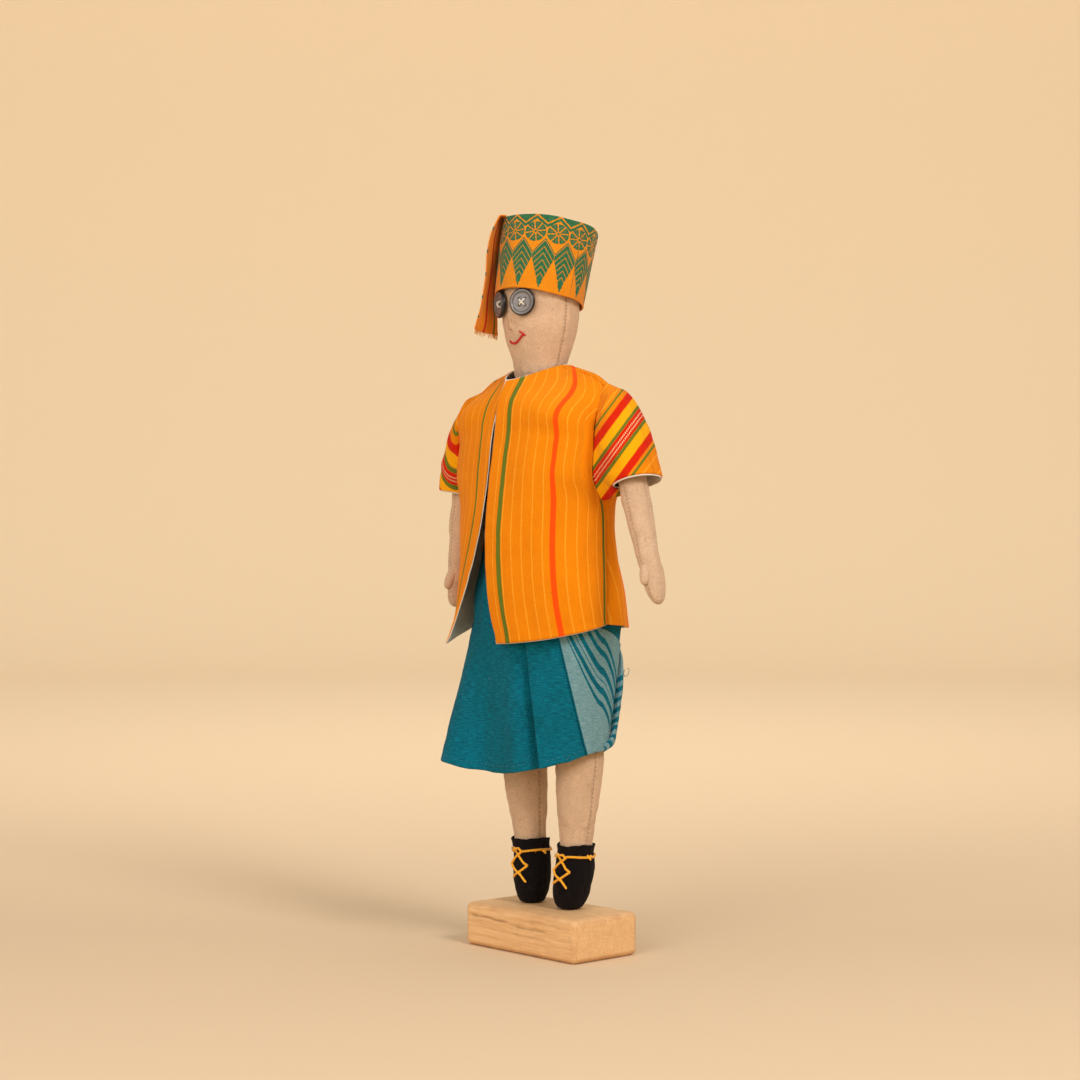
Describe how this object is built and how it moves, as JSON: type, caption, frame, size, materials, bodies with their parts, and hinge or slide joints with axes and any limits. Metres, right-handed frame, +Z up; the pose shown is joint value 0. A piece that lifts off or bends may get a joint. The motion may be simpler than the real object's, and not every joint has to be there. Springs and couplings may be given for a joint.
{
  "type": "stuffed cloth doll on stand",
  "caption": "Standing stuffed cloth doll in a lined open jacket, wrapped skirt and tall cap, on a wooden block, with arms, head, cap and jacket fronts that move.",
  "frame": {"origin": "centre of the wooden block's bottom face", "axes": "+Z up, the doll faces -Y, its left side is +X"},
  "size_m": [0.1525, 0.063, 0.3415],
  "materials": {
    "wood": "satin",
    "steel": "satin",
    "canvas": "matte",
    "stuffing": "matte",
    "shoe_cloth": "matte",
    "lace_thread": "matte",
    "skirt_cloth": "matte",
    "border_cloth": "matte",
    "tie_tape": "matte",
    "jacket_cloth": "matte",
    "lining_cloth": "matte",
    "sewing_thread": "matte",
    "button_plastic": "satin",
    "nose_thread": "matte",
    "mouth_thread": "matte",
    "cap_cloth": "matte"
  },
  "bodies": {
    "figure": {"wood_base": "wood", "left_wire": "steel", "right_wire": "steel", "left_leg_skin": "canvas", "right_leg_skin": "canvas", "left_leg_stuffing": "stuffing", "right_leg_stuffing": "stuffing", "left_shoe": "shoe_cloth", "right_shoe": "shoe_cloth", "left_shoe_lace": "lace_thread", "right_shoe_lace": "lace_thread", "torso_skin": "canvas", "torso_stuffing": "stuffing", "skirt_wrap": "skirt_cloth", "skirt_border_fold": "border_cloth", "waist_tie": "tie_tape", "jacket_back": "jacket_cloth", "jacket_left_front": "jacket_cloth", "jacket_right_front": "jacket_cloth", "jacket_back_lining": "lining_cloth", "jacket_left_lining": "lining_cloth", "jacket_right_lining": "lining_cloth"},
    "neck": {"neck_stitching": "sewing_thread"},
    "head": {"head_skin": "canvas", "head_stuffing": "stuffing", "left_eye_button": "button_plastic", "right_eye_button": "button_plastic", "left_eye_thread": "sewing_thread", "right_eye_thread": "sewing_thread", "nose_stitch": "nose_thread", "mouth_stitch": "mouth_thread"},
    "cap": {"cap_band": "cap_cloth", "cap_crown": "cap_cloth"},
    "tail": {"cap_tail": "cap_cloth"},
    "left_shoulder": {"left_shoulder_thread": "sewing_thread"},
    "left_arm": {"left_arm_skin": "canvas", "left_arm_stuffing": "stuffing", "left_sleeve": "jacket_cloth"},
    "right_shoulder": {"right_shoulder_thread": "sewing_thread"},
    "right_arm": {"right_arm_skin": "canvas", "right_arm_stuffing": "stuffing", "right_sleeve": "jacket_cloth"},
    "left_flap": {"left_front_flap": "jacket_cloth", "left_flap_lining": "lining_cloth"},
    "right_flap": {"right_front_flap": "jacket_cloth", "right_flap_lining": "lining_cloth"}
  },
  "joints": [
    {"name": "head_turn", "type": "hinge", "parent": "figure", "child": "neck", "pos_m": [-0.0026, -0.004, 0.272], "axis": [0, 0, 1], "range_deg": [-35, 35]},
    {"name": "head_nod", "type": "hinge", "parent": "neck", "child": "head", "pos_m": [-0.0026, -0.004, 0.272], "axis": [1, 0, 0], "range_deg": [-12, 12]},
    {"name": "cap_lift", "type": "slide", "parent": "head", "child": "cap", "axis": [0, 0.2164, 0.9763], "range_m": [0, 0.06]},
    {"name": "tail_swing", "type": "hinge", "parent": "cap", "child": "tail", "pos_m": [-0.01518, -0.01797, 0.3415], "axis": [-0.7431, 0.6691, 0], "range_deg": [0, 60]},
    {"name": "left_arm_swing", "type": "hinge", "parent": "figure", "child": "left_shoulder", "pos_m": [0.0477, -0.002, 0.25], "axis": [-1, 0, 0], "range_deg": [-40, 80]},
    {"name": "left_arm_lift", "type": "hinge", "parent": "left_shoulder", "child": "left_arm", "pos_m": [0.0477, -0.002, 0.25], "axis": [0, -1, 0], "range_deg": [-5, 60]},
    {"name": "right_arm_swing", "type": "hinge", "parent": "figure", "child": "right_shoulder", "pos_m": [-0.0523, -0.002, 0.25], "axis": [-1, 0, 0], "range_deg": [-40, 80]},
    {"name": "right_arm_lift", "type": "hinge", "parent": "right_shoulder", "child": "right_arm", "pos_m": [-0.0523, -0.002, 0.25], "axis": [0, 1, 0], "range_deg": [0, 60]},
    {"name": "left_front_open", "type": "hinge", "parent": "figure", "child": "left_flap", "pos_m": [0.029, -0.0345, 0.145], "axis": [-0.2638, 0, 0.9646], "range_deg": [0, 45]},
    {"name": "right_front_open", "type": "hinge", "parent": "figure", "child": "right_flap", "pos_m": [-0.0425, -0.0255, 0.145], "axis": [-0.3111, 0.097, -0.9454], "range_deg": [-10, 40]}
  ]
}
